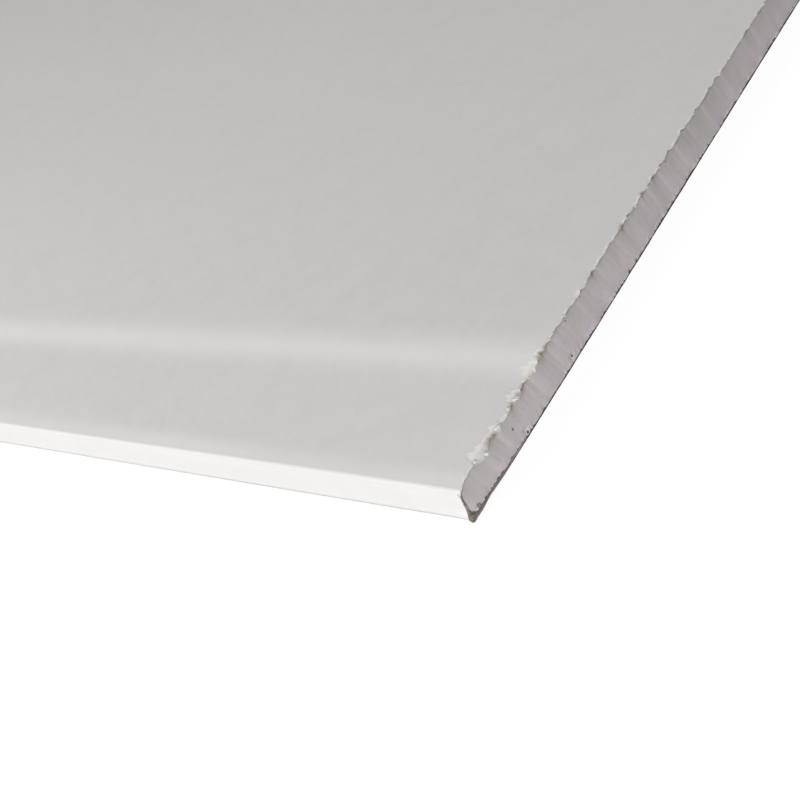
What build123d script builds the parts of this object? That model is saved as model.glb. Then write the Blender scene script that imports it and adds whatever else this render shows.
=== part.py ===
# A full sheet of half-inch drywall with tapered long edges, lying face up.
#
# X runs along the length, Y across the width and Z up through the thickness. The origin is the
# middle of the back, so the sheet rests on the plane Z = 0. All sizes are millimetres.
#
# The sheet is three layers bonded into one board. The face paper covers the face, folds down
# round both long edges and ends as a flap under the back. The back paper is glued over the two
# flaps and stops a little short of each long edge. The gypsum core fills the inside and shows
# only at the two cut ends.

from build123d import *
import math
import os

# The sheet as it is sold: 4 ft by 8 ft by 1/2 in.
sheet_length = 2438.4
sheet_width = 1219.2
sheet_thickness = 12.7

# The two papers. The flap is what the face paper laps onto the back along each long edge, and
# the margin is how far the back paper stops short of that edge.
face_paper_thickness = 0.4
back_paper_thickness = 0.4
flap_width = 26.0
back_paper_margin = 9.0

# The tapered edge, going out from the flat of the face: a short ramp, then a recess that falls
# gently, where joint tape and filler go, and a last roll-off to the edge. Each drop is measured
# along Z.
ramp_run = 10.7
ramp_drop = 1.0
recess_run = 31.4
recess_drop = 0.3
roll_off_run = 5.0
roll_off_drop = 0.4

# The ramp leaves the flat over a soft shoulder and meets the recess over a soft foot, and the
# recess bends as softly into the roll-off.
shoulder_radius = 100.0
foot_radius = 105.0
roll_off_radius = 60.0

# The long edge leans, so the face is narrower than the back by this much on each side, and the
# paper turns over it with these outer radii.
edge_lean = 0.3
top_fold_radius = 1.0
bottom_fold_radius = 0.6


def right_half_corners():
    """Corners of the papered outline in the section, from the flat of the face to the back."""
    half_width = sheet_width / 2
    flap_underside = back_paper_thickness
    edge_height = sheet_thickness - ramp_drop - recess_drop - roll_off_drop
    top_fold = (half_width - edge_lean, edge_height)
    roll_off = (top_fold[0] - roll_off_run, edge_height + roll_off_drop)
    foot = (roll_off[0] - recess_run, roll_off[1] + recess_drop)
    shoulder = (foot[0] - ramp_run, sheet_thickness)
    # Rounding the leaning corner trims its tip, so it stands out by as much as that takes off.
    lean_angle = math.atan2(edge_lean, edge_height - flap_underside)
    trimmed = bottom_fold_radius * (1 / math.tan(math.pi / 4 - lean_angle / 2) - 1)
    bottom_fold = (half_width + trimmed, flap_underside)
    return [shoulder, foot, roll_off, top_fold, bottom_fold]


def papered_outline():
    """Section of the core with its face paper: both halves, with every corner rounded."""
    right = right_half_corners()
    left = [(-across, height) for across, height in reversed(right)]
    radii = [shoulder_radius, foot_radius, roll_off_radius, top_fold_radius, bottom_fold_radius]
    line = FilletPolyline(*right, *left, radius=radii + radii[::-1], close=True)
    return make_face(line)


def core_section():
    """Section of the gypsum: inside the face paper, and down to the back between its flaps."""
    inside_the_paper = offset(papered_outline(), amount=-face_paper_thickness)
    between_flaps = Rectangle(
        sheet_width - 2 * flap_width, face_paper_thickness, align=(Align.CENTER, Align.MIN)
    )
    return inside_the_paper + Pos(0, back_paper_thickness) * between_flaps


def face_paper_section():
    """Section of the face paper: one band from the tip of one flap to the tip of the other."""
    return papered_outline() - core_section()


def back_paper_section():
    """Section of the back paper: flat, over both flaps, and short of both long edges."""
    return Rectangle(
        sheet_width - 2 * back_paper_margin,
        back_paper_thickness,
        align=(Align.CENTER, Align.MIN),
    )


def along_the_sheet(section):
    """The solid that a section makes when it runs from one cut end to the other."""
    return extrude(Plane.YZ * section, amount=sheet_length / 2, both=True)


gypsum_core = along_the_sheet(core_section())
face_paper = along_the_sheet(face_paper_section())
back_paper = along_the_sheet(back_paper_section())

os.makedirs("parts", exist_ok=True)
export_step(gypsum_core, "parts/gypsum_core.step")
export_step(face_paper, "parts/face_paper.step")
export_step(back_paper, "parts/back_paper.step")
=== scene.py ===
import math

import bpy
import numpy as np
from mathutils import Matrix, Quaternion, Vector


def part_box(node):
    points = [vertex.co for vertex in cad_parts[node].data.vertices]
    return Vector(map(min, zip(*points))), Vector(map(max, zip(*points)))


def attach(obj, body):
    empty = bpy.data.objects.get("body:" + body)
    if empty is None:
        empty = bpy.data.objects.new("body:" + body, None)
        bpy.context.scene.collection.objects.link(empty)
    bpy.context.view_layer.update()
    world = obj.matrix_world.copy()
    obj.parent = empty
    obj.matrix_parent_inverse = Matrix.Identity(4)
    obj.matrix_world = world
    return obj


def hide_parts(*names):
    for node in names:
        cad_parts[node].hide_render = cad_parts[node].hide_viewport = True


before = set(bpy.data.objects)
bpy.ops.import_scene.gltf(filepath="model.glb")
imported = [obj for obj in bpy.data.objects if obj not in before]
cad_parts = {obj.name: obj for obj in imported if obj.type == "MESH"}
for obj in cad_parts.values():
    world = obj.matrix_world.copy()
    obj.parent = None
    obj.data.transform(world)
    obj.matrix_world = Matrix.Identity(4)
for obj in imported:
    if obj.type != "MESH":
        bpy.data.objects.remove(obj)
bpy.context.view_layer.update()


# Face paper. One web of grey paperboard runs over the face and down both long edges, and its two
# flaps are folded under the board. A belt presses the long edges thinner, for joint tape. At the
# cut ends the paper is torn, not sliced, and its top ply has peeled back in places.
# Sizes are millimetres, and become metres where a mesh is made.

METRE = 1000.0
paper_low, paper_high = (np.array(corner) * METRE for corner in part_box("face_paper"))
core_low, core_high = (np.array(corner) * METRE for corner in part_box("gypsum_core"))
half_length = paper_high[0]
half_width = paper_high[1]
board_thickness = paper_high[2]
flap_underside = paper_low[2]
paper_thickness = paper_high[2] - core_high[2]

flap_width = 26.0
edge_lean = 0.3
ramp_run = 10.7
ramp_drop = 1.0
recess_run = 31.4
recess_drop = 0.3
roll_off_run = 5.0
roll_off_drop = 0.4
bottom_fold_radius = 0.6
top_fold_radius = 1.0
roll_off_radius = 60.0
foot_radius = 105.0
shoulder_radius = 100.0


def rounded_line(corners, radii, arc_points=25):
    """Points, left-hand normals and bend places of a line through corners that turns by arcs.

    An arc of radius r that turns by a starts r tan(a/2) before its corner. Its points are the
    centre plus or minus r n, where n turns evenly from the normal before to the normal after.
    """
    points, normals, middles = [corners[0]], [], []
    for before, corner, after, radius in zip(corners[:-2], corners[1:-1], corners[2:], radii):
        way_in = (corner - before) / np.linalg.norm(corner - before)
        way_out = (after - corner) / np.linalg.norm(after - corner)
        turn = math.atan2(way_in[0] * way_out[1] - way_in[1] * way_out[0], way_in @ way_out)
        signed_radius = math.copysign(radius, turn)
        normal_in = np.array([-way_in[1], way_in[0]])
        start = corner - way_in * radius * math.tan(abs(turn) / 2)
        centre = start + signed_radius * normal_in
        angle = np.linspace(0, turn, arc_points)[:, None]
        normal = np.cos(angle) * normal_in + np.sin(angle) * np.array([-normal_in[1], normal_in[0]])
        middles.append(len(points) + arc_points // 2)
        points.extend(centre - signed_radius * normal)
        normals.append(normal)
    points = np.array(points + [corners[-1]])
    normals = np.concatenate([normals[0][:1], *normals, normals[-1][-1:]])
    along = np.concatenate([[0], np.cumsum(np.linalg.norm(np.diff(points, axis=0), axis=1))])
    return points, normals, along, along[middles]


def papered_corners():
    """Corners (across, up) of the papered outline, from one flap's tip round to the other's."""
    edge_height = board_thickness - ramp_drop - recess_drop - roll_off_drop
    lean_angle = math.atan2(edge_lean, edge_height - flap_underside)
    trimmed = bottom_fold_radius * (1 / math.tan(math.pi / 4 - lean_angle / 2) - 1)
    top_fold = half_width - edge_lean
    roll_off = top_fold - roll_off_run
    foot = roll_off - recess_run
    right = [
        (foot - ramp_run, board_thickness),
        (foot, board_thickness - ramp_drop),
        (roll_off, edge_height + roll_off_drop),
        (top_fold, edge_height),
        (half_width + trimmed, flap_underside),
        (half_width - flap_width, flap_underside),
    ]
    left = [(-across, height) for across, height in reversed(right)]
    return np.array(left + right)


one_side = [bottom_fold_radius, top_fold_radius, roll_off_radius, foot_radius, shoulder_radius]
outline, outline_normal, outline_along, bends = rounded_line(
    papered_corners(), one_side + one_side[::-1]
)
web_width = outline_along[-1]
bottom_fold, top_fold, _, foot, shoulder = bends[:5]


def graded(start, stop, spacing):
    """Stations from start to stop. The spacing is pairs of a place and the pitch there, and the
    pitch runs straight between them: the running total of 1/pitch is cut into equal steps."""
    places, pitches = zip(*spacing)
    slices = 60000
    fine = np.linspace(start, stop, slices + 1)
    step = (stop - start) / slices
    count = np.concatenate([[0], np.cumsum(step / np.interp(fine[1:], places, pitches))])
    return np.interp(np.linspace(0, count[-1], math.ceil(count[-1]) + 1), count, fine)


def noise(across, up, seed):
    """Smooth noise from -1 to 1. Random numbers lie on a square lattice of unit pitch, and the
    four round a point are blended by 3t^2 - 2t^3 in both directions."""
    columns, rows = 4096, 64
    table = np.random.default_rng(seed).uniform(-1, 1, (columns, rows))
    across, up = np.broadcast_arrays(np.asarray(across, float), np.asarray(up, float))
    column, row = np.floor(across).astype(int), np.floor(up).astype(int)
    right, above = across - column, up - row
    right, above = right * right * (3 - 2 * right), above * above * (3 - 2 * above)

    def level(row):
        before, after = table[column % columns, row % rows], table[(column + 1) % columns, row % rows]
        return before * (1 - right) + after * right

    return level(row) * (1 - above) + level(row + 1) * above


def hump(distance, reach):
    """A round bump: 1 at distance 0, falling as a half ellipse to 0 at the reach."""
    return np.sqrt(np.clip(1 - (distance / reach) ** 2, 0, 1))


def bell(distance, reach):
    """A soft bump: 1 at distance 0, falling as the Gaussian exp(-(distance / reach)^2)."""
    return np.exp(-((distance / reach) ** 2))


# Notches of the snapped end at the corner in the photograph: place in from the long edge, and depth.
corner_notches = [
    (-20, 0), (4.0, 0.30), (16.4, 1.00), (21.6, 0.25), (27.5, 0.30), (31.4, 0.60), (34.2, 0.80), (40.6, 0.30),
    (44.4, 0.95), (47.6, 0.50), (53.0, 0.40), (60.3, 0.50), (66.3, 0.40), (72.8, 0.80), (78.0, 0.50),
    (83.6, 0.60), (88.6, 0.40), (94.7, 0.70), (98.6, 0.45), (103.2, 0.65), (110.0, 0.80), (114.8, 0.75),
    (120.8, 0.90), (129.4, 0.80), (138.2, 0.75), (147.4, 0.60), (152.2, 0.60),
]


def notch_list(start, seed):
    """More notches at random from a place on to the far edge."""
    random = np.random.default_rng(seed)
    least_gap, most_gap = 3.5, 8.5
    count = math.ceil((2 * half_width - start) / least_gap)
    places = start + np.cumsum(random.uniform(least_gap, most_gap, count))
    return np.stack([places, random.uniform(0.12, 0.6, count)], -1)


# The right end is at sign 1 and the left end at sign -1. Places along an end run in from the front
# long edge, and the smaller damage at random stops short of the rear one.
end_seed = {1: 100, -1: 300}
further_notches = notch_list(start=153, seed=5)
end_notches = {1: np.concatenate([corner_notches, further_notches]), -1: notch_list(start=-20, seed=6)}
damage_stop = 1190
flute_lean = math.tan(math.radians(16))


def beside_notches(across, up, sign):
    """The place in from the long edge where the leaning flute through a point meets the face, then
    the distance and depth of the notch before it and of the one after it."""
    leaned = across + half_width + flute_lean * (up - board_thickness)
    notches = end_notches[sign]
    after = np.clip(np.searchsorted(notches[:, 0], leaned), 1, len(notches) - 1)
    past, ahead = leaned - notches[after - 1, 0], notches[after, 0] - leaned
    return leaned, past, notches[after - 1, 1], ahead, notches[after, 1]


def fluted(across, up, sign):
    """(How far a snapped end stands out past the nominal end, how deep it lies in a notch), in mm.

    The break steps out sharply past each notch, as exp(-distance / 0.5 mm), and slopes back before
    the next, as exp(-distance / 1.8 mm). Notches are deepest at the face and die away downwards, as
    exp(-depth / 3 mm). Soft ribs run the whole way down. The end overhangs by the square of the
    height.
    """
    seed = end_seed[sign]
    leaned, past, depth_before, ahead, depth_after = beside_notches(across, up, sign)
    notch = depth_before * np.exp(-past / 0.5) + depth_after * np.exp(-ahead / 1.8)
    notch = notch * (1 + 0.3 * noise(leaned / 1.5, 0, seed + 2))
    notch = notch * (0.14 + 0.86 * np.exp(-np.clip(board_thickness - up, 0, None) / 3.0))
    ribs = 0.20 * noise(leaned / 3.3, up / 22, seed + 3) + 0.006 * noise(leaned / 1.3, up / 9, seed + 4)
    overhang = 0.12 + 0.75 * (up / board_thickness) ** 2
    return overhang - notch - ribs, notch


# Brown starch bled out where the paper tore, and painted shade darkens it where it lies in the
# notches. The first marks are the corner's in the photograph, at its deepest notches: place in from
# the long edge, and half the width.
corner_stains = [
    (16.6, 2.0), (27.2, 0.8), (32.6, 2.0), (44.5, 2.6), (72.8, 0.6), (90.0, 0.8), (103.0, 0.4), (110.2, 0.4),
]
stain_random = np.random.default_rng(71)
further_count = 60
further_places = stain_random.uniform(158, damage_stop, further_count)
further_widths = stain_random.uniform(0.4, 1.2, further_count)
stains = np.concatenate([corner_stains, np.stack([further_places, further_widths], -1)])


def stain_at(place):
    """How brown the cut is, with painted shade in the notches, from 0 to 1: a Gaussian round the place of
    each stain.
    """
    return np.clip(bell(place[:, None] - stains[:, 0], stains[:, 1]).sum(1), 0, 1)


# Where the top ply has peeled at the corner in the photograph: how far in from the long edge, half
# the length along the cut, how far back it peeled, and how far the torn ply hangs over the end.
corner_tears = [
    (11.9, 3.7, 3.1, 1.2),
    (16.4, 1.3, 1.5, 0.3),
    (19.2, 1.8, 2.0, 0.9),
    (23.8, 2.8, 0.9, 0.5),
    (29.8, 2.2, 3.0, 1.0),
    (38.4, 3.0, 3.1, 0.6),
    (43.6, 2.0, 1.7, 0.6),
]


def scattered_tears(start, count, seed):
    """Further, smaller tears at random along a cut."""
    random = np.random.default_rng(seed)
    places = np.sort(random.uniform(start, damage_stop, count))
    sizes = random.uniform((0.7, 0.5, 0.1), (2.0, 1.5, 0.45), (count, 3))
    return [(place, *size) for place, size in zip(places, sizes)]


def torn_back(inward, tears, seed):
    """(How far the top ply is peeled back, how far the torn ply hangs down) at each place in from
    the long edge: the largest of the tears' humps, frayed by noise."""
    peeled, hanging = np.zeros_like(inward), np.zeros_like(inward)
    for place, reach, depth, hang in tears:
        shape = hump(inward - place, reach)
        peeled = np.maximum(peeled, depth * shape)
        hanging = np.maximum(hanging, hang * shape)
    frayed = 1 + 0.35 * noise(inward / 0.9, 0, seed) + 0.2 * noise(inward / 0.45, 0, seed + 1)
    return peeled * frayed, hanging * frayed


def closed_sweep(name, loops, **measures):
    """A closed mesh from loops of points, an array (piece, along, around, 3) in mm.

    Each loop is joined to the next by quads, and a piece's first and last loops are closed by one
    face each. A measure is kept as a point attribute: an array that fits (piece, along, around).
    """
    pieces, along, around = loops.shape[:3]
    index = np.arange(pieces * along * around).reshape(pieces, along, around)
    here, there = index[:, :-1], index[:, 1:]
    quads = np.stack([here, there, np.roll(there, -1, 2), np.roll(here, -1, 2)], -1)
    caps = index[:, 0].tolist() + index[:, -1, ::-1].tolist()
    mesh = bpy.data.meshes.new(name)
    mesh.from_pydata(loops.reshape(-1, 3) / METRE, [], quads.reshape(-1, 4).tolist() + caps)
    for measure, values in measures.items():
        layer = mesh.attributes.new(measure, "FLOAT", "POINT")
        layer.data.foreach_set("value", np.broadcast_to(values, loops.shape[:3]).astype(np.float32).ravel())
    mesh.polygons.foreach_set("use_smooth", np.ones(len(mesh.polygons), bool))
    mesh.set_sharp_from_angle(angle=math.radians(50))
    made = bpy.data.objects.new(name, mesh)
    bpy.context.scene.collection.objects.link(made)
    return made


# Stations round the web, each a place and the pitch there: closest at the folds and in the part
# that the photograph shows.
near, far = top_fold, web_width - top_fold
web_spacing = [
    (0, 0.8), (bottom_fold - 3.2, 0.6), (bottom_fold - 2.4, 0.25), (bottom_fold - 1.0, 0.25),
    (bottom_fold - 0.8, 0.13), (bottom_fold + 0.8, 0.13), (bottom_fold + 1.0, 0.22),
    (bottom_fold + 3.0, 0.22), (bottom_fold + 3.8, 0.7), (near - 1.8, 0.7), (near - 0.9, 0.13),
    (near + 0.9, 0.13), (near + 1.6, 0.34), (near + 50, 0.34), (near + 60, 0.5), (near + 200, 0.55),
    (near + 270, 0.95), (near + 400, 1.1), (near + 440, 2.6), (far - 70, 2.6), (far - 50, 1.4),
    (far - 1.5, 1.0), (far - 0.9, 0.18), (far + 0.9, 0.18), (far + 1.5, 1.2),
    (web_width - bottom_fold, 0.3), (web_width, 2.0),
]
web = graded(0, web_width, web_spacing)

across, up = (np.interp(web, outline_along, outline[:, i]) for i in (0, 1))
out_across, out_up = (np.interp(web, outline_along, outline_normal[:, i]) for i in (0, 1))
inward = np.minimum(web - top_fold, web_width - top_fold - web)
from_bottom_fold = inward + top_fold - bottom_fold
on_face = np.clip(inward / 1.5, 0, 1)
on_side = np.clip(-inward / 1.5, 0, 1) * np.clip(from_bottom_fold + 0.5, 0, 1)
under = np.clip(1 - from_bottom_fold / 2.0, 0, 1)
# Darker on the long edge's cut, just above the bottom fold.
scuffing = on_side * (1 - 1.5 * np.clip((from_bottom_fold - 5) / 5, 0, 1))

right_steps = np.array(
    [0, 0.15, 0.3, 0.5, 0.75, 1.0, 1.3, 1.6, 1.9, 2.2, 2.6, 3.0, 3.4, 3.9, 4.6, 5.6, 7.5, 12]
)
left_steps = np.array([0, 0.3, 0.6, 1.0, 1.5, 2.1, 2.8, 4.0, 7.5, 12])
row_spacing = [
    (-half_length, 330), (half_length - 700, 330), (half_length - 650, 34), (half_length - 330, 34),
    (half_length - 300, 18), (half_length, 18),
]
middle_rows = graded(-half_length + 30, half_length - 22, row_spacing)[::-1]
inner_steps = np.array([8.0, 2.5, 1.0, 0.4, 0])


def cut_line(sign):
    """(How far the paper's cut stands out past the nominal end, how deep it lies in a notch) along
    the web. The cut follows the snapped end, frays, and stands out at the top fold."""
    seed = end_seed[sign]
    line, notch = fluted(across, up, sign)
    fray = 0.12 * noise(web / 1.4, 0, seed + 21) + 0.08 * noise(web / 0.6, 0, seed + 22)
    line = line + fray * (0.3 + 0.7 * on_face) + 0.10 * on_face
    return line + 0.75 * bell(inward, 1.6) + 0.25 * bell(inward, 7) * on_face, notch


def cut_darkness(notch, seed):
    """How dark the paper's cut is along the web: its own dark inner plies, with painted shade in the
    notches, in patches on the face, and all along the long edge, but less towards the flap's tip.
    Past 1 it is darker still, on the long edge just above the bottom fold."""
    # Painted shade in the notches, over the cut's own dark plies.
    bared = np.clip(notch / 0.6, 0, 1) ** 2 + 0.6 * np.clip(noise(web / 1.9, 0, seed + 28) - 0.25, 0, 1)
    flap_end = 1 - 0.6 * np.clip((-from_bottom_fold - 16) / 8, 0, 1)
    return np.maximum((1 - on_face) * flap_end, np.clip(0.12 + 0.88 * bared, 0, 1)) + scuffing


def inside_tear(peeled, step, seed):
    """How far inside the torn part each step from the cut lies, in mm, and below 0 outside it. The
    part reaches as far in as the ply peeled, or else as a fringe that runs all along the cut."""
    fringe = np.clip(0.45 + 0.9 * noise(web / 1.2, 0, seed + 29) + 0.2 * noise(web / 5, 0, seed + 30), 0, 0.9)
    torn = np.maximum(peeled, (fringe * on_face)[:, None]) - step - 0.15
    return torn + 0.2 * noise(web[:, None] / 0.5, step / 0.5, seed + 23)


def paper_end(steps, sign, tears):
    """The outer face of the paper beside one cut: (x, push out, drop, torn) for each place along
    the web and each step in from the cut, then the cut line and how dark its cut side is.

    The torn part lies a ply lower and is rough, the ply beside it lifts, and over the last
    millimetre the torn ply bends down over the end. On the long edge the outer plies were crushed
    back, most at 2.6 mm above the bottom fold, as a Gaussian.
    """
    seed = end_seed[sign]
    step = steps[None, :]
    peeled, hanging = torn_back(inward, tears, seed + 20)
    peeled = np.where(on_face > 0, peeled, 0)[:, None]
    hanging = np.where(on_face > 0, hanging, 0)[:, None]
    torn = inside_tear(peeled, step, seed)
    bare = np.clip(0.5 + torn / 0.6, 0, 1)
    ply = 0.06
    rough = 0.04 * noise(web[:, None] / 1.3, step / 1.1, seed + 24)
    rough = rough + 0.01 * noise(web[:, None] / 0.5, step / 0.45, seed + 25)
    lift = 0.04 * bell(torn + 0.3, 0.4) * (peeled > 0.3)
    curl = 0.10 * noise(web / 3.1, 0, seed + 26)[:, None] * np.exp(-step / 0.5) * on_face[:, None]
    push = bare * (rough - ply) + lift + curl
    line, notch = cut_line(sign)
    crushed = 0.15 * on_side + 0.55 * bell(from_bottom_fold - 2.6, 2.6) * (1 - on_face)
    crushed = crushed * (1 + 0.2 * noise(web / 1.3, 0, seed + 27))
    shift = (line - crushed)[:, None] * np.exp(-step / 6.0)
    lip = np.clip(1 - step / 1.1, 0, 1) ** 2
    x = sign * (half_length - step + shift + 0.5 * hanging * lip)
    return (x, push, hanging * lip, torn), sign * (half_length + line), cut_darkness(notch, seed)


right_tears = corner_tears + scattered_tears(start=58, count=26, seed=7)
left_tears = scattered_tears(start=6, count=44, seed=8)
right_rows, right_line, right_dark = paper_end(right_steps, 1, right_tears)
left_rows, left_line, left_dark = paper_end(left_steps, -1, left_tears)
untorn = -5.0
middle_x = np.broadcast_to(middle_rows, (len(web), len(middle_rows)))
flat = np.zeros_like(middle_x)
middle = (middle_x, flat, flat, flat + untorn)
outer_x, push, drop, torn = (
    np.hstack([right, between, left[:, ::-1]]) for right, between, left in zip(right_rows, middle, left_rows)
)

# The folded edge isn't dead straight: the score wanders by about a quarter of a millimetre. Below,
# the flap sags beside the back paper, and at a cut the bottom fold is knocked into a blunt corner.
near_fold = bell(inward - 0.5, 3.5)[:, None]
from_ends = half_length - np.abs(outer_x)
wander = 0.16 * noise(outer_x / 42, 0, 31) + 0.07 * noise(outer_x / 19, 0, 32)
push = push + wander * near_fold * np.clip(from_ends / 25, 0, 1)
push = push + 1.25 * bell(from_bottom_fold - 1.1, 1.3)[:, None] * np.exp(-from_ends / 2.0)
bare_flap = 8.6
sag = np.clip((bare_flap + from_bottom_fold) / 4.0, 0, 1) * np.clip(1 - from_bottom_fold / 0.8, 0, 1)
push = push + sag[:, None] * (0.33 - 0.18 * np.exp(-from_ends / 18))
lowest = 0.02
outer = np.stack(
    [
        outer_x,
        across[:, None] + out_across[:, None] * push,
        np.maximum(up[:, None] + out_up[:, None] * push - drop, lowest),
    ],
    -1,
)

# The blade crushed the paper where it is doubled under the board, so it swells at the cut. In the
# bottom fold it is a knob about 2 mm across, and it fades out towards the flap's tip. In the fold
# it swells no further than the line that halves the corner.
to_the_tip = np.clip(1 + (from_bottom_fold + 11) / 14, 0.1, 1)
swell = 0.05 + 0.34 * under * to_the_tip + 0.04 * on_side
swell = swell + 1.4 * np.exp(-((from_bottom_fold / np.where(from_bottom_fold > 0, 2.0, 1.6)) ** 4))
swell = swell * (1 + 0.35 * noise(web / 2.2, 0, 33) + 0.3 * noise(web / 0.9, 0, 36))
room_in_fold = np.maximum(0.5, np.abs(from_bottom_fold) + 0.05)


def paper_inside(line, steps, drops, sign):
    """The inner face of the paper beside one cut: the outline moved in by the thickness, and by
    the swelling within a millimetre of the cut. It bends down with the ply above it."""
    depth = paper_thickness + swell[:, None] * np.exp(-inner_steps[None, :] / 0.8)
    depth = np.minimum(depth, room_in_fold[:, None])
    drop = np.stack([np.interp(inner_steps, steps, row) for row in drops])
    x = line[:, None] - sign * inner_steps[None, :]
    return np.stack(
        [x, across[:, None] - out_across[:, None] * depth, up[:, None] - out_up[:, None] * depth - drop],
        -1,
    )


left_inside = paper_inside(left_line, left_steps, left_rows[2], -1)[:, ::-1]
right_inside = paper_inside(right_line, right_steps, right_rows[2], 1)


def cut_side(outside, inside, sign, seed):
    """The middle of the paper's cut edge, pushed in and out by its loose fibres."""
    middle = (outside + inside) / 2
    middle[:, :, 0] += sign * (0.05 + 0.10 * noise(web / 0.7, 0, seed)[:, None])
    return middle


left_cut = cut_side(outer[:, -1:], left_inside[:, :1], -1, 34)
right_cut = cut_side(outer[:, :1], right_inside[:, -1:], 1, 35)
paper_loops = np.concatenate([outer, left_cut, left_inside, right_inside, right_cut], 1)

# How much of the dark cut plies, and of the painted shade in the notches, each point shows. At the
# right cut, column 0 is the outer face and column -1 the middle of the edge. At the left cut these
# are columns -hidden - 1 and -hidden.
hidden = paper_loops.shape[1] - outer.shape[1]
cut = np.concatenate([np.zeros_like(outer_x), np.ones((len(web), hidden)) + scuffing[:, None]], 1)
cut[:, 0] = right_dark * (0.5 + 0.5 * on_side)
cut[:, 1] = 0.3 * right_dark * on_side
cut[:, -1] = right_dark
cut[:, -hidden - 1] = left_dark * (0.5 + 0.5 * on_side)
cut[:, -hidden] = left_dark

# Where the torn ply hangs over an end, the edge of the paper shows its white fibre too. The brown
# of the starch, with painted shade in the notches, lies over all that, and fades out over the first
# millimetre of the paper.
inside_torn = np.full((len(web), hidden), untorn)
right_white, left_white = (np.clip(rows[2][:, :1] / 0.4, 0, 1) for rows in (right_rows, left_rows))
inside_torn[:, -2:] += (1 - untorn) * right_white
inside_torn[:, :2] += (1 - untorn) * left_white
right_columns, left_columns = [0, -2, -1], [-hidden - 1, -hidden, 1 - hidden]
cut[:, right_columns] *= 1 - right_white
cut[:, left_columns] *= 1 - left_white
brown = (stain_at(inward) * on_face * (0.8 + 0.4 * noise(web / 0.9, 0, 37)))[:, None]
# Brown stain, with painted shade in the notches.
stained = np.zeros_like(cut)
stained[:, :5] = brown * (0.95, 0.9, 0.75, 0.5, 0.2)
stained[:, -2:] = 0.95 * brown
on_ramp = (foot + shoulder) / 2 - top_fold
# Painted highlight: paler paper over the ramp and beside the top fold, where the light falls on them, and on
# the long edge.
pressed = 0.34 * bell(inward - on_ramp, 5.5) + 0.22 * bell(inward - 2, 4) + 0.18 * on_side
# Painted shade: darker in the bottom fold, and a little in the top fold.
creased = bell(from_bottom_fold, 0.55) + 0.15 * bell(inward, 0.8)
face_paper = closed_sweep(
    "face_paper_sheet",
    paper_loops[None],
    torn=np.concatenate([torn, inside_torn], 1),
    cut=cut,
    stained=np.clip(stained, 0, 1),
    pressed=pressed[:, None],
    creased=creased[:, None],
)


def linear(colour):
    """An sRGB hex colour as linear red, green, blue and alpha."""
    parts = [int(colour[i : i + 2], 16) / 255 for i in (1, 3, 5)]
    return [c / 12.92 if c <= 0.04045 else ((c + 0.055) / 1.055) ** 2.4 for c in parts] + [1.0]


def add(tree, kind, inputs=None, **settings):
    """Adds a node to a tree. An input is a value, or the output socket that feeds it."""
    made = tree.nodes.new(kind)
    for name, value in settings.items():
        setattr(made, name, value)
    for socket, value in (inputs or {}).items():
        if isinstance(value, bpy.types.NodeSocket):
            tree.links.new(value, made.inputs[socket])
        else:
            made.inputs[socket].default_value = value
    return made


def new_material(name, roughness, specular):
    """A material whose shader has this roughness and specular level: (material, its tree, its
    shader, the place on the object)."""
    made = bpy.data.materials.new(name)
    made.use_nodes = True
    shader = made.node_tree.nodes["Principled BSDF"]
    shader.inputs["Roughness"].default_value = roughness
    shader.inputs["Specular IOR Level"].default_value = specular
    place = add(made.node_tree, "ShaderNodeTexCoord").outputs["Object"]
    return made, made.node_tree, shader, place


def texture(tree, place, size, detail=2.0, roughness=0.5):
    """Noise from 0 to 1, with lumps about as wide as the size in mm."""
    inputs = {"Vector": place, "Scale": METRE / size, "Detail": detail, "Roughness": roughness}
    return add(tree, "ShaderNodeTexNoise", inputs).outputs["Fac"]


def measured(tree, name):
    """One of the mesh's point attributes."""
    return add(tree, "ShaderNodeAttribute", attribute_name=name).outputs["Fac"]


def worked_out(tree, operation, *values, **settings):
    """What a math node gives for these values."""
    inputs = dict(enumerate(values))
    return add(tree, "ShaderNodeMath", inputs, operation=operation, **settings).outputs["Value"]


def ramped(tree, value, low, high, bottom=0.0, top=1.0, **settings):
    """A value between low and high brought to between bottom and top, and held there past them."""
    inputs = {"Value": value, "From Min": low, "From Max": high, "To Min": bottom, "To Max": top}
    return add(tree, "ShaderNodeMapRange", inputs, **settings).outputs["Result"]


def blended(tree, share, first, second):
    """Two colours mixed by the share of the second. A colour is sRGB hex, linear, or a socket."""
    first, second = (linear(colour) if isinstance(colour, str) else colour for colour in (first, second))
    return add(tree, "ShaderNodeMix", {"Factor": share, 6: first, 7: second}, data_type="RGBA").outputs[2]


def finish(tree, shader, colour, height):
    """Gives a shader its colour, and a bump from a height in mm."""
    relief = add(tree, "ShaderNodeBump", {"Height": height, "Distance": 1 / METRE, "Strength": 1.0})
    tree.links.new(colour, shader.inputs["Base Color"])
    tree.links.new(relief.outputs["Normal"], shader.inputs["Normal"])


# Calendered grey paperboard: a dull, even grey with a faint cloudiness from the pulp and a fine felt
# of fibres. Painted highlight makes it paler on the ramp, beside the top fold and on the long edge,
# and painted shade darkens the folds. Torn, it shows the off-white of its inner plies. Cut, it shows
# them darker, with painted shade in the notches, and on the long edge darker still.
paperboard, tree, shader, place = new_material("calendered_grey_paperboard", roughness=0.82, specular=0.3)
clouds = texture(tree, place, size=9, detail=4.0, roughness=0.65)
fibres = texture(tree, place, size=2.2, detail=4.0, roughness=0.7)
sheet_drift = texture(tree, place, size=260)
tone = ramped(tree, clouds, 0.3, 0.7, bottom=-0.6, top=0.1)
tone = worked_out(tree, "MULTIPLY_ADD", fibres, 1.4, tone)
tone = worked_out(tree, "MULTIPLY_ADD", sheet_drift, 0.8, tone)
colour = blended(tree, tone, "#d3d1cf", "#d9d7d5")
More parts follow.
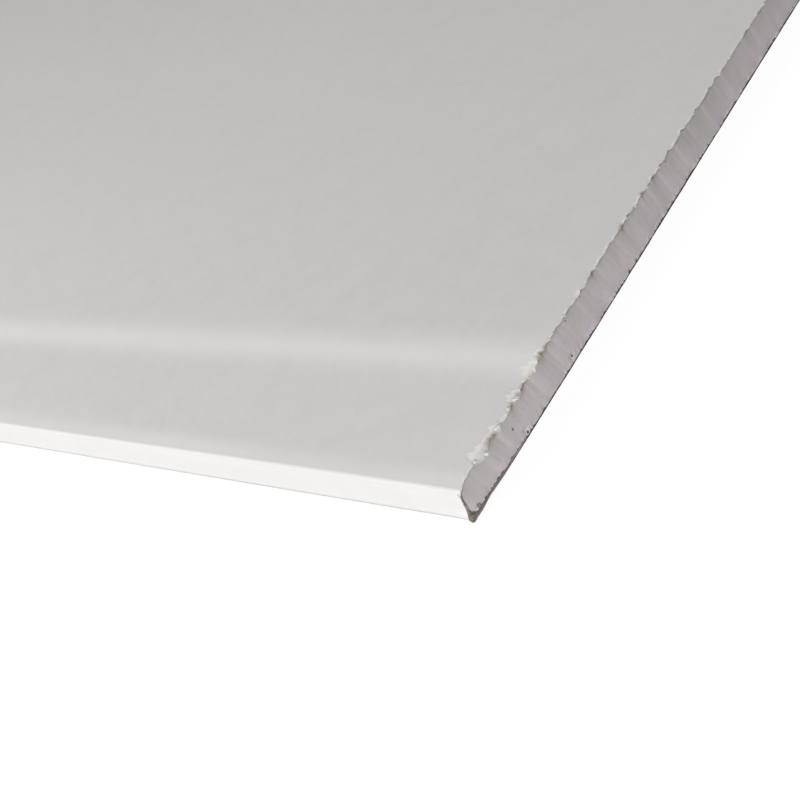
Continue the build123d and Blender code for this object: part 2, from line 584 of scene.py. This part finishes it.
# Painted highlight over the ramp, beside the top fold and on the long edge.
colour = blended(tree, measured(tree, "pressed"), colour, "#e9e9e9")
# Painted shade in the folds.
colour = blended(tree, measured(tree, "creased"), colour, "#aeaca9")
shreds = texture(tree, place, size=0.7, detail=3.0, roughness=0.6)
shred_edge = worked_out(tree, "MULTIPLY_ADD", shreds, 0.9, measured(tree, "torn"))
bare_ply = ramped(tree, shred_edge, 0.25, 0.7)
colour = blended(tree, bare_ply, colour, blended(tree, shreds, "#dedbd5", "#f0eeea"))
plies = texture(tree, place, size=1.3, detail=3.0, roughness=0.7)
cut_share = measured(tree, "cut")
# The cut's dark plies, with painted shade in the notches.
colour = blended(tree, cut_share, colour, blended(tree, plies, "#56504b", "#a49e97"))
crushed_colour = blended(tree, ramped(tree, plies, 0.32, 0.62), "#453a34", "#9c968b")
crushed_share = worked_out(tree, "SUBTRACT", cut_share, 1.0, use_clamp=True)
colour = blended(tree, crushed_share, colour, crushed_colour)
# Brown of the starch, with painted shade in the notches.
colour = blended(tree, measured(tree, "stained"), colour, "#847861")
felt = texture(tree, place, size=0.8, detail=3.0, roughness=0.6)
felt_height = worked_out(tree, "MULTIPLY", felt, 0.02)
shred_height = worked_out(tree, "MULTIPLY", shreds, bare_ply)
height = worked_out(tree, "MULTIPLY_ADD", shred_height, 0.04, felt_height)
finish(tree, shader, colour, height)
face_paper.data.materials.append(paperboard)
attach(face_paper, "root")
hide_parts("face_paper")


# Torn fibres. Where the top ply tore, the soft white ply under it stands up in small tufts along
# the cut, and some hang over it. They are the face paper itself, fluffed out by the tear.

# Tufts at the corner in the photograph: place in from the long edge, how far past the cut line,
# and radius.
corner_tufts = np.array([
    (9.4, 0.1, 0.35),
    (12.6, 1.3, 0.50),
    (20.4, 0.1, 0.60),
    (26.3, -0.2, 0.50),
    (29.8, 0.3, 0.65),
    (30.9, -2.2, 0.30),
    (36.5, 0.2, 0.40),
    (48.8, -0.1, 0.35),
    (50.6, -0.1, 0.42),
    (56.9, -0.2, 0.50),
    (67.6, 0.0, 0.45),
    (74.4, 0.0, 0.40),
    (82.4, -0.1, 0.40),
])


def notch_tufts(start, sign):
    """Small tufts, one just before each notch and others strewn along the cut: place in from the
    long edge, how far past the cut line, and radius."""
    strewn_pitch = 9
    random = np.random.default_rng(end_seed[sign])
    notches = end_notches[sign][:, 0]
    notches = notches[(notches > start) & (notches < damage_stop)]
    before = notches - random.uniform(0.6, 1.8, len(notches))
    strewn = random.uniform(start, damage_stop, int((damage_stop - start) / strewn_pitch))
    places = np.concatenate([before, strewn])
    radii = 0.17 + 0.30 * random.uniform(0, 1, len(places)) ** 1.5
    return np.stack([places, random.uniform(-0.25, 0.1, len(places)), radii], -1)


def lumpy_balls(centre, sizes, seed, rings=8):
    """Lumpy balls as closed sweeps, from their centres and half sizes.

    A point lies at the half sizes times 1 plus a dent, in the direction given by its polar angle
    from the length and its angle round it. The dents are smooth noise in those two angles, from a
    stretch of the noise that is each ball's own.
    """
    polar = np.linspace(0.06, 0.94, rings)[None, :, None] * math.pi
    around = np.arange(rings + 2)[None, None, :] * 2 * math.pi / (rings + 2)
    own = 7.3 * np.arange(len(centre))[:, None, None]
    dent = 1 + 0.30 * noise(own + 2.2 * np.cos(around) * np.sin(polar), 2.2 * np.cos(polar) + 9, seed)
    dent = dent + 0.15 * noise(own + 3.4 * np.sin(around) * np.sin(polar), 3.1 * np.cos(polar) + 31, seed + 1)
    ball = [np.cos(polar), np.sin(polar) * np.cos(around), np.sin(polar) * np.sin(around)]
    ball = np.stack([axis * dent for axis in ball], -1)
    return centre[:, None, None] + sizes[:, None, None] * ball


def tuft_rings(tufts, line_x, sign, seed):
    """Tufts on a cut line. Each is flattened and stretched by its own random factors, and one that
    hangs over the end sits lower by half of how far it is out."""
    places, out, radii = tufts.T
    face = on_face > 0.2
    x = np.interp(places - half_width, across[face], line_x[face])
    height = np.interp(places - half_width, across[face], up[face])
    centre = np.stack([x + sign * out, places - half_width, height - 0.5 * np.clip(out, 0, None) - 0.10], -1)
    stretch = np.random.default_rng(seed).uniform(0.8, 1.5, (len(tufts), 3)) * (1, 1.2, 0.35)
    return lumpy_balls(centre, radii[:, None] * stretch, seed)


# A flake of the long edge's paper stands out just below the top fold at the photographed corner.
corner_flake = lumpy_balls(
    np.array([(half_length + 0.3, 0.4 - half_width, 9.6)]), np.array([(0.35, 0.40, 0.7)]), 65
)
torn_fibres = closed_sweep(
    "torn_fibre_tufts",
    np.concatenate([
        tuft_rings(corner_tufts, right_line, 1, 61),
        tuft_rings(notch_tufts(start=86, sign=1), right_line, 1, 62),
        tuft_rings(notch_tufts(start=5, sign=-1), left_line, -1, 63),
        corner_flake,
    ]),
)

# Loose white fibre from inside the paper: paler than its face, very matt and fluffy.
fluff, tree, shader, place = new_material("torn_white_ply_fibre", roughness=1.0, specular=0.1)
shader.inputs["Subsurface Weight"].default_value = 0.8
shader.inputs["Subsurface Radius"].default_value = (1, 1, 1)
shader.inputs["Subsurface Scale"].default_value = 0.9 / METRE
wisps = texture(tree, place, size=0.45, detail=3.0, roughness=0.6)
wisp_colour = blended(tree, wisps, "#c8c5bd", "#eae7e1")
finish(tree, shader, wisp_colour, worked_out(tree, "MULTIPLY", wisps, 0.06))
torn_fibres.data.materials.append(fluff)
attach(torn_fibres, "root")
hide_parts("face_paper")


# Gypsum core. Foamed gypsum slurry is cast on the face paper and sets hard. At each cut end it was
# snapped along a scored line, so it is a rough, slightly fluted break with chipped edges.

within = outline - paper_thickness * outline_normal
first_fold, last_fold = within[:, 0].argmin(), within[:, 0].argmax()
side_width = core_high[1]
near_side, far_side = -side_width, side_width
core_spacing = [
    (near_side, 0.07), (near_side + 1.3, 0.07), (near_side + 2, 0.34), (near_side + 50, 0.34),
    (near_side + 60, 0.5), (near_side + 200, 0.55), (near_side + 270, 0.95), (near_side + 400, 1.1),
    (near_side + 440, 2.6), (far_side - 60, 2.6), (far_side - 2, 1.2), (far_side - 1.3, 0.1), (far_side, 0.1),
]
side_gap = 0.03
column = graded(near_side + side_gap, far_side - side_gap, core_spacing)
top = np.interp(column, within[first_fold : last_fold + 1, 0], within[first_fold : last_fold + 1, 1])
flap_inside = within[first_fold::-1]
bottom = np.interp(-np.abs(column), flap_inside[:, 0], flap_inside[:, 1])
between_flaps = np.abs(column) < half_width - flap_width
bottom = np.where(between_flaps, core_low[2], bottom)

# Spalls at the corner in the photograph: place in from the long edge, height, radius and depth.
corner_spalls = [(27.6, 1.6, 1.1, 0.6), (52.8, 2.2, 0.9, 0.5), (24.3, 6.1, 0.45, 0.35), (3.4, 2.2, 1.0, 0.4)]


def hairline_crack(across, up, sign):
    """How deep a point lies in the crack at the corner in the photograph, from 0 to 1. The crack
    follows a parabola in the height, is a Gaussian across and fades out over a millimetre at its
    top and its foot."""
    crack_place, crack_width = 16.1, 0.28
    crack_top, crack_foot = 8.6, 2.6
    from_crack = across + half_width - crack_place + 0.075 * (up - 3.0) ** 2
    reach = np.clip(crack_top - up, 0, 1) * np.clip(up - crack_foot, 0, 1)
    return bell(from_crack, crack_width) * reach * (sign > 0)


def core_end(shares, sign, tears, spalls):
    """How far the gypsum stands back from the cut, at each column and each share of the height.

    It is the snapped end with two sizes of grain and a crack, plus crumbling that dies away from
    the two paper faces, room for the paper that swelled in the bottom folds, and spalls, each a
    round dish.
    """
    seed = end_seed[sign]
    height = bottom[:, None] + (top - bottom)[:, None] * shares[None, :]
    place = np.broadcast_to(column[:, None], height.shape)
    from_top, from_bottom = top[:, None] - height, height - bottom[:, None]
    inward = half_width - np.abs(column)
    crumbled = 0.20 + 0.25 * np.clip(noise(column / 2.3, 0, seed + 40), -0.3, 1)
    crumbled = (crumbled + 0.5 * torn_back(inward, tears, seed + 20)[1])[:, None]
    crushed = 0.08 + 0.14 * np.clip((flap_width - inward) / 14, 0, 1)
    chipped = np.clip(noise(column / 0.75, 0, seed + 41) - 0.3, 0, 1)[:, None]
    chip_height = (1.1 + 0.8 * noise(column / 3.3, 0, seed + 45))[:, None]
    fold_distance = np.hypot(inward[:, None], height - flap_underside)
    coarse_grain = 0.035 * noise(place / 2.1, height / 2.1, seed + 43)
    fine_grain = 0.01 * noise(place / 1.2, height / 1.6, seed + 44)
    back = coarse_grain + fine_grain - fluted(place, height, sign)[0] + crumbled * np.exp(-from_top / 0.4)
    back = back + crushed[:, None] * bell(from_bottom, 0.8)
    back = back + 0.7 * chipped * bell(from_bottom, chip_height)
    back = back + 1.1 * bell(fold_distance, 2.4)
    back = back + 0.35 * bell(side_width - np.abs(place), 0.25)
    back = back + 0.12 * hairline_crack(place, height, sign)
    for across_place, up_place, radius, depth in spalls:
        reach = np.hypot(place + half_width - across_place, height - up_place)
        back = back + depth * hump(reach, radius * (1 + 0.3 * noise(place / 0.6, height / 0.6, seed + 42)))
    return back, height


def core_points(x, height):
    """Points on the core at every column, from their x and their height."""
    return np.stack(np.broadcast_arrays(x, column[:, None], height), -1)


def level_rows(edge, height, steps, sign):
    """Rows that run inward from an end's edge along the top or bottom of the core."""
    return core_points(edge[:, :1] - sign * steps[None, :], height[:, None])


right_shares = np.concatenate([[1, 0.988, 0.97, 0.945], np.linspace(0.91, 0.12, 15), [0.08, 0.045, 0.02, 0]])
left_shares = np.concatenate([[1, 0.98, 0.94], np.linspace(0.88, 0.12, 9), [0.06, 0.02, 0]])
right_back, right_height = core_end(right_shares, 1, right_tears, corner_spalls)
left_back, left_height = core_end(left_shares, -1, left_tears, [])
right_end = core_points(half_length - right_back, right_height)
left_end = core_points(left_back - half_length, left_height)
core_steps = np.array([0.4, 1.2, 3.0, 8.0])
core_loops = np.concatenate(
    [
        level_rows(right_end[:, 0], top, core_steps, 1),
        level_rows(left_end[:, 0], top, core_steps[::-1], -1),
        left_end,
        level_rows(left_end[:, -1], bottom, core_steps, -1),
        level_rows(right_end[:, -1], bottom, core_steps[::-1], 1),
        right_end[:, ::-1],
    ],
    1,
)

# Two patches of painted shade on the end in the photograph: place in from the long edge, reach and how dark.
dull_patches = [(2, 9, 0.5), (141, 12, 0.6)]


def streak_tone(across, up, sign):
    """How much paler (above 0) or darker a break is at each point.

    Soft streaks about 4 mm wide run down it. Past each notch is painted shade and then a painted
    highlight, which fade as exp(-depth / 6 mm). The right end has the patches of painted shade, each
    a Gaussian, and painted shade in the crack. Pale crumbs lie along the foot, where the back paper pulled
    it.
    """
    leaned, past, depth = beside_notches(across, up, sign)[:3]
    tone = 0.60 * noise(leaned / 4.2, up / 14, 72) + 0.06 * noise(leaned / 1.5, up / 6, 73)
    # Painted shade in the two patches.
    for middle, reach, dullness in dull_patches:
        tone = tone - dullness * bell(leaned - middle, reach) * (sign > 0)
    # Painted shade and then a painted highlight on the step past each notch.
    beside = 2.4 * bell(past - 2.2, 0.7) - 2.2 * bell(past - 0.7, 0.8)
    tone = tone + depth * beside * np.exp(-np.clip(board_thickness - up, 0, None) / 6)
    # Painted shade in the crack.
    tone = tone - 1.2 * hairline_crack(across, up, sign)
    crumbs = np.clip(2 * noise(across / 0.5, up / 0.7, 74) - 0.2, 0, 1)
    crumbs = crumbs * np.clip(0.7 + noise(across / 4, 0, 75), 0, 1)
    return tone + 3.6 * crumbs * bell(up - 1.1, 0.7)


# The brown starch marks, with their painted shade in the notches, fade down from the face. Under
# the cut paper lies a thin line of painted shade, which starts faint at the photographed corner.
core_x, core_y, core_z = np.moveaxis(core_loops, -1, 0)
below = np.abs(top[:, None] - core_z)
# Painted shade: a thin dark line under the paper's edge.
soiled = 0.5 * (0.7 + noise(column / 1.9, 0, 76)) * np.clip((column + half_width) / 12, 0.1, 1)
stained = stain_at(column + half_width)[:, None] * np.exp(-below / 1.1)
stained = np.clip(stained + soiled[:, None] * np.exp(-below / 0.45), 0, 1)
streaked = np.where(core_x > 0, streak_tone(core_y, core_z, 1), streak_tone(core_y, core_z, -1))
gypsum_core = closed_sweep("gypsum_core_cast", core_loops[None], stained=stained, streaked=streaked)

# Set gypsum, foamed and snapped: chalky and quite matt, a faintly mauve off-white with painted shade
# that greys it towards the face, streaks where it broke with painted shade and highlight beside the
# notches, and the pits of small air bubbles, painted darker as shade.
gypsum, tree, shader, place = new_material("foamed_set_gypsum", roughness=0.95, specular=0.2)
patches = texture(tree, place, size=7)
bubbles = add(tree, "ShaderNodeTexVoronoi", {"Vector": place, "Scale": METRE / 1.6})
solid_share = ramped(tree, bubbles.outputs["Distance"], 0.05, 0.2, interpolation_type="SMOOTHSTEP")
colour = blended(tree, ramped(tree, patches, 0.35, 0.65), "#e4dae0", "#dfdad8")
height_axis = add(tree, "ShaderNodeSeparateXYZ", {"Vector": place}).outputs["Z"]
# Painted shade: the gypsum greys towards the face.
dense_share = ramped(tree, height_axis, 4 / METRE, 12.4 / METRE, top=0.8)
colour = blended(tree, dense_share, colour, "#cecac8")
# Streaks, with painted shade and highlight beside the notches, in the crack and in the two patches.
streak_level = worked_out(tree, "MULTIPLY_ADD", measured(tree, "streaked"), 0.11, 1.0)
streaks = add(tree, "ShaderNodeVectorMath", {0: colour, "Scale": streak_level}, operation="SCALE")
# Brown stain, with painted shade in the notches and under the paper's edge.
colour = blended(tree, measured(tree, "stained"), streaks.outputs["Vector"], "#90866d")
# Painted shade in the pits of the air bubbles.
colour = blended(tree, solid_share, "#cfc8c8", colour)
grain = texture(tree, place, size=0.9, detail=5.0, roughness=0.65)
grain_height = worked_out(tree, "MULTIPLY", grain, 0.08)
finish(tree, shader, colour, worked_out(tree, "MULTIPLY_ADD", solid_share, 0.05, grain_height))
gypsum_core.data.materials.append(gypsum)
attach(gypsum_core, "root")
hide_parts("gypsum_core")


# Back paper. A plainer web of recycled board is glued over the back and over both flaps. It was
# cut through last, with a knife, so its ends are cleaner than those of the face paper.

back_low, back_high = (np.array(corner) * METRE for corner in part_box("back_paper"))
back_spacing = [
    (-half_width, 0.45), (70 - half_width, 0.5), (250 - half_width, 0.9), (450 - half_width, 2.6),
    (half_width, 2.6),
]
back_column = graded(back_low[1], back_high[1], back_spacing)
back_steps = np.array([0, 0.3, 0.8, 2.5, 10])


def back_end(sign, seed):
    """The ends of the back paper: (rows on top, the cut side, rows underneath), which stand out
    or back by a little fray. At its margins the paper is feathered, as exp(-distance / 8 mm), and
    stands back with the flap."""
    fray = 0.06 - 0.04 * noise(back_column / 4.5, 0, seed) - 0.03 * noise(back_column / 1.1, 0, seed + 1)
    fray = fray - 0.2 * np.exp((np.abs(back_column) - back_high[1]) / 4)
    feathered = 0.85 * back_high[2] * np.exp((np.abs(back_column) - back_high[1]) / 8)
    x = sign * (half_length + fray[:, None] * np.exp(-back_steps / 2) - back_steps)
    side = np.broadcast_to(back_column[:, None], x.shape)
    above = np.stack([x, side, np.full_like(x, back_high[2])], -1)
    below = np.stack([x, side, np.broadcast_to(feathered[:, None], x.shape)], -1)
    middle = (above[:, :1] + below[:, :1]) / 2
    middle[:, :, 0] += sign * 0.04 * (1 + noise(back_column / 0.8, 0, seed + 2)[:, None])
    return above, middle, below


right_above, right_side, right_below = back_end(1, 500)
left_above, left_side, left_below = back_end(-1, 510)
back_loops = np.concatenate(
    [right_above, left_above[:, ::-1], left_side, left_below, right_below[:, ::-1], right_side], 1
)
from_cut = np.concatenate([back_steps, back_steps[::-1], [0], back_steps, back_steps[::-1], [0]])
back_paper = closed_sweep("back_paper_sheet", back_loops[None], cut=from_cut == 0)

# Recycled board, unbleached: a warm brownish grey with darker flecks of old print paper, and darker
# still at its cut edge, partly its own cut and partly painted shadow where it meets the floor.
recycled, tree, shader, place = new_material("recycled_brown_grey_board", roughness=0.88, specular=0.3)
pulp = texture(tree, place, size=5, detail=4.0, roughness=0.6)
fleck_noise = texture(tree, place, size=0.9)
colour = blended(tree, pulp, "#857d72", "#a39a8d")
colour = blended(tree, ramped(tree, fleck_noise, 0.62, 0.7, top=0.5), colour, "#6b6359")
# The cut edge, darkened partly as painted shadow where it meets the floor.
colour = blended(tree, measured(tree, "cut"), colour, "#4a4540")
finish(tree, shader, colour, worked_out(tree, "MULTIPLY", fleck_noise, 0.03))
back_paper.data.materials.append(recycled)
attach(back_paper, "root")
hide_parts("back_paper")

# Flecks of that brown paper, crumbled off by the knife, stick in the chips of the gypsum. Flecks at
# the corner in the photograph: place in from the long edge, height, and half sizes across and up.
corner_flecks = [
    (3.2, 2.1, 0.12, 0.60),
    (3.9, 1.9, 0.10, 0.50),
    (6.4, 1.3, 0.30, 0.15),
    (9.3, 1.4, 0.15, 0.30),
    (12.6, 1.4, 0.45, 0.22),
    (14.6, 1.3, 0.50, 0.15),
    (19.4, 1.2, 0.30, 0.15),
    (24.3, 6.1, 0.12, 0.45),
    (27.8, 1.0, 0.40, 0.35),
    (29.0, 0.7, 0.30, 0.20),
    (52.9, 2.1, 0.25, 0.40),
    (56.5, 11.2, 0.20, 0.40),
]


def strewn_flecks(start, seed, count=160):
    """More flecks at random: two thirds of them low on the gypsum, the others just below the face."""
    random = np.random.default_rng(seed)
    places = random.uniform(start, damage_stop, count)
    low_share, below_face = 0.67, 11.6
    low = random.uniform(0, 1, count) < low_share
    heights = np.where(low, random.uniform(0.7, 1.6, count), below_face)
    sizes = random.uniform((0.08, 0.15), (0.22, 0.5), (count, 2))
    return np.concatenate([np.stack([places, heights], -1), sizes], 1)


def fleck_rings(flecks, sign, seed):
    """Flecks that lie half sunk in the snapped end, 0.15 mm proud of it."""
    places, heights, wide, tall = np.array(flecks).T
    sunk, half_thick = 0.1, 0.25
    out = fluted(places - half_width, heights, sign)[0] - sunk
    centre = np.stack([sign * (half_length + out), places - half_width, heights], -1)
    return lumpy_balls(centre, np.stack([np.full_like(wide, half_thick), wide, tall], -1), seed, rings=6)


flecks = closed_sweep(
    "brown_paper_flecks",
    np.concatenate([
        fleck_rings(corner_flecks, 1, 81),
        fleck_rings(strewn_flecks(start=60, seed=84), 1, 82),
        fleck_rings(strewn_flecks(start=10, seed=85), -1, 83),
    ]),
    cut=0.45,
)
flecks.data.materials.append(recycled)
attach(flecks, "root")
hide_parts("back_paper")


# Studio. A white floor and a white surround, one broad soft light in front of the long edge, a
# weaker one to the right that grazes the cut end, and a faint one over the far part.

floor_reach = 30.0
floor_level = -0.05 / METRE
floor_corners = [
    (x * floor_reach, y * floor_reach, floor_level) for x, y in ((-1, -1), (1, -1), (1, 1), (-1, 1))
]
floor_mesh = bpy.data.meshes.new("studio_floor")
floor_mesh.from_pydata(floor_corners, [], [(0, 1, 2, 3)])
floor = bpy.data.objects.new("studio_floor", floor_mesh)
bpy.context.scene.collection.objects.link(floor)


def seen_straight(tree):
    """1 where the camera sees a thing directly or mirrored, and 0 where it only lights others."""
    ray = add(tree, "ShaderNodeLightPath")
    return worked_out(tree, "MAXIMUM", ray.outputs["Is Camera Ray"], ray.outputs["Is Glossy Ray"])


# Matt white paper sweep. What the camera sees of it is lifted to white, and its shadow stays.
sweep = bpy.data.materials.new("matt_white_sweep")
sweep.use_nodes = True
tree = sweep.node_tree
tree.nodes.clear()
seen = seen_straight(tree)
lift = worked_out(tree, "MULTIPLY", seen, 0.93)
glow = add(tree, "ShaderNodeEmission", {"Color": (1, 1, 1, 1), "Strength": lift})
paper_shade = blended(tree, seen, (0.45, 0.45, 0.45, 1), (0.12, 0.12, 0.12, 1))
matt = add(tree, "ShaderNodeBsdfDiffuse", {"Color": paper_shade})
both = add(tree, "ShaderNodeAddShader", {0: matt.outputs["BSDF"], 1: glow.outputs["Emission"]})
add(tree, "ShaderNodeOutputMaterial", {"Surface": both.outputs["Shader"]})
floor_mesh.materials.append(sweep)

world = bpy.data.worlds.new("studio_surround")
world.use_nodes = True
bpy.context.scene.world = world
tree = world.node_tree
tree.nodes.clear()
surround_level = 0.38
strength = ramped(tree, seen_straight(tree), 0.0, 1.0, bottom=surround_level)
surround = add(tree, "ShaderNodeBackground", {"Color": (1, 1, 1, 1), "Strength": strength})
add(tree, "ShaderNodeOutputWorld", {"Surface": surround.outputs["Background"]})

corner = Vector((half_length, -half_width, 0)) / METRE


def soft_light(name, target, azimuth, elevation, distance, size, power, spread=180):
    """A square lamp that looks at a target. Azimuth 0 stands in front, and 90 to the right."""
    turn, rise = math.radians(azimuth), math.radians(elevation)
    way = Vector((math.sin(turn) * math.cos(rise), -math.cos(turn) * math.cos(rise), math.sin(rise)))
    lamp = bpy.data.lights.new(name, "AREA")
    lamp.size = size
    lamp.energy = power
    lamp.spread = math.radians(spread)
    made = bpy.data.objects.new(name, lamp)
    made.location = target + way * distance
    made.rotation_mode = "QUATERNION"
    made.rotation_quaternion = (-way).to_track_quat("-Z", "Y")
    bpy.context.scene.collection.objects.link(made)


soft_light("front_light", corner, azimuth=-34, elevation=28, distance=1.2, size=0.52, power=11.5)
soft_light("right_light", corner, azimuth=45, elevation=14, distance=0.65, size=0.3, power=1.87)

# A gridded lamp over the far part of the sheet keeps that part as pale as the corner.
far_part = Vector((-0.55, 0.2, 0))
soft_light("top_light", far_part, azimuth=-120, elevation=80, distance=1.6, size=0.3, power=2.1, spread=95)

# The camera looks down on the corner from its right, as far off and as tilted as in the photograph.
camera_place = Vector((212.7, -133.25, 208.6)) / METRE + corner
camera_target = Vector((-34.6, 25.0, 12.7)) / METRE + corner
camera_roll = math.radians(-35.9)
camera = bpy.data.objects.new("camera", bpy.data.cameras.new("camera"))
camera.data.sensor_width = 36.0
camera.data.lens = 61.15
camera.data.clip_start = 0.01
camera.data.clip_end = 200.0
camera.location = camera_place
camera.rotation_mode = "QUATERNION"
level = (camera_target - camera_place).to_track_quat("-Z", "Y")
camera.rotation_quaternion = level @ Quaternion((0, 0, 1), camera_roll)
bpy.context.scene.collection.objects.link(camera)
bpy.context.scene.camera = camera
bpy.context.scene.view_settings.view_transform = "Standard"
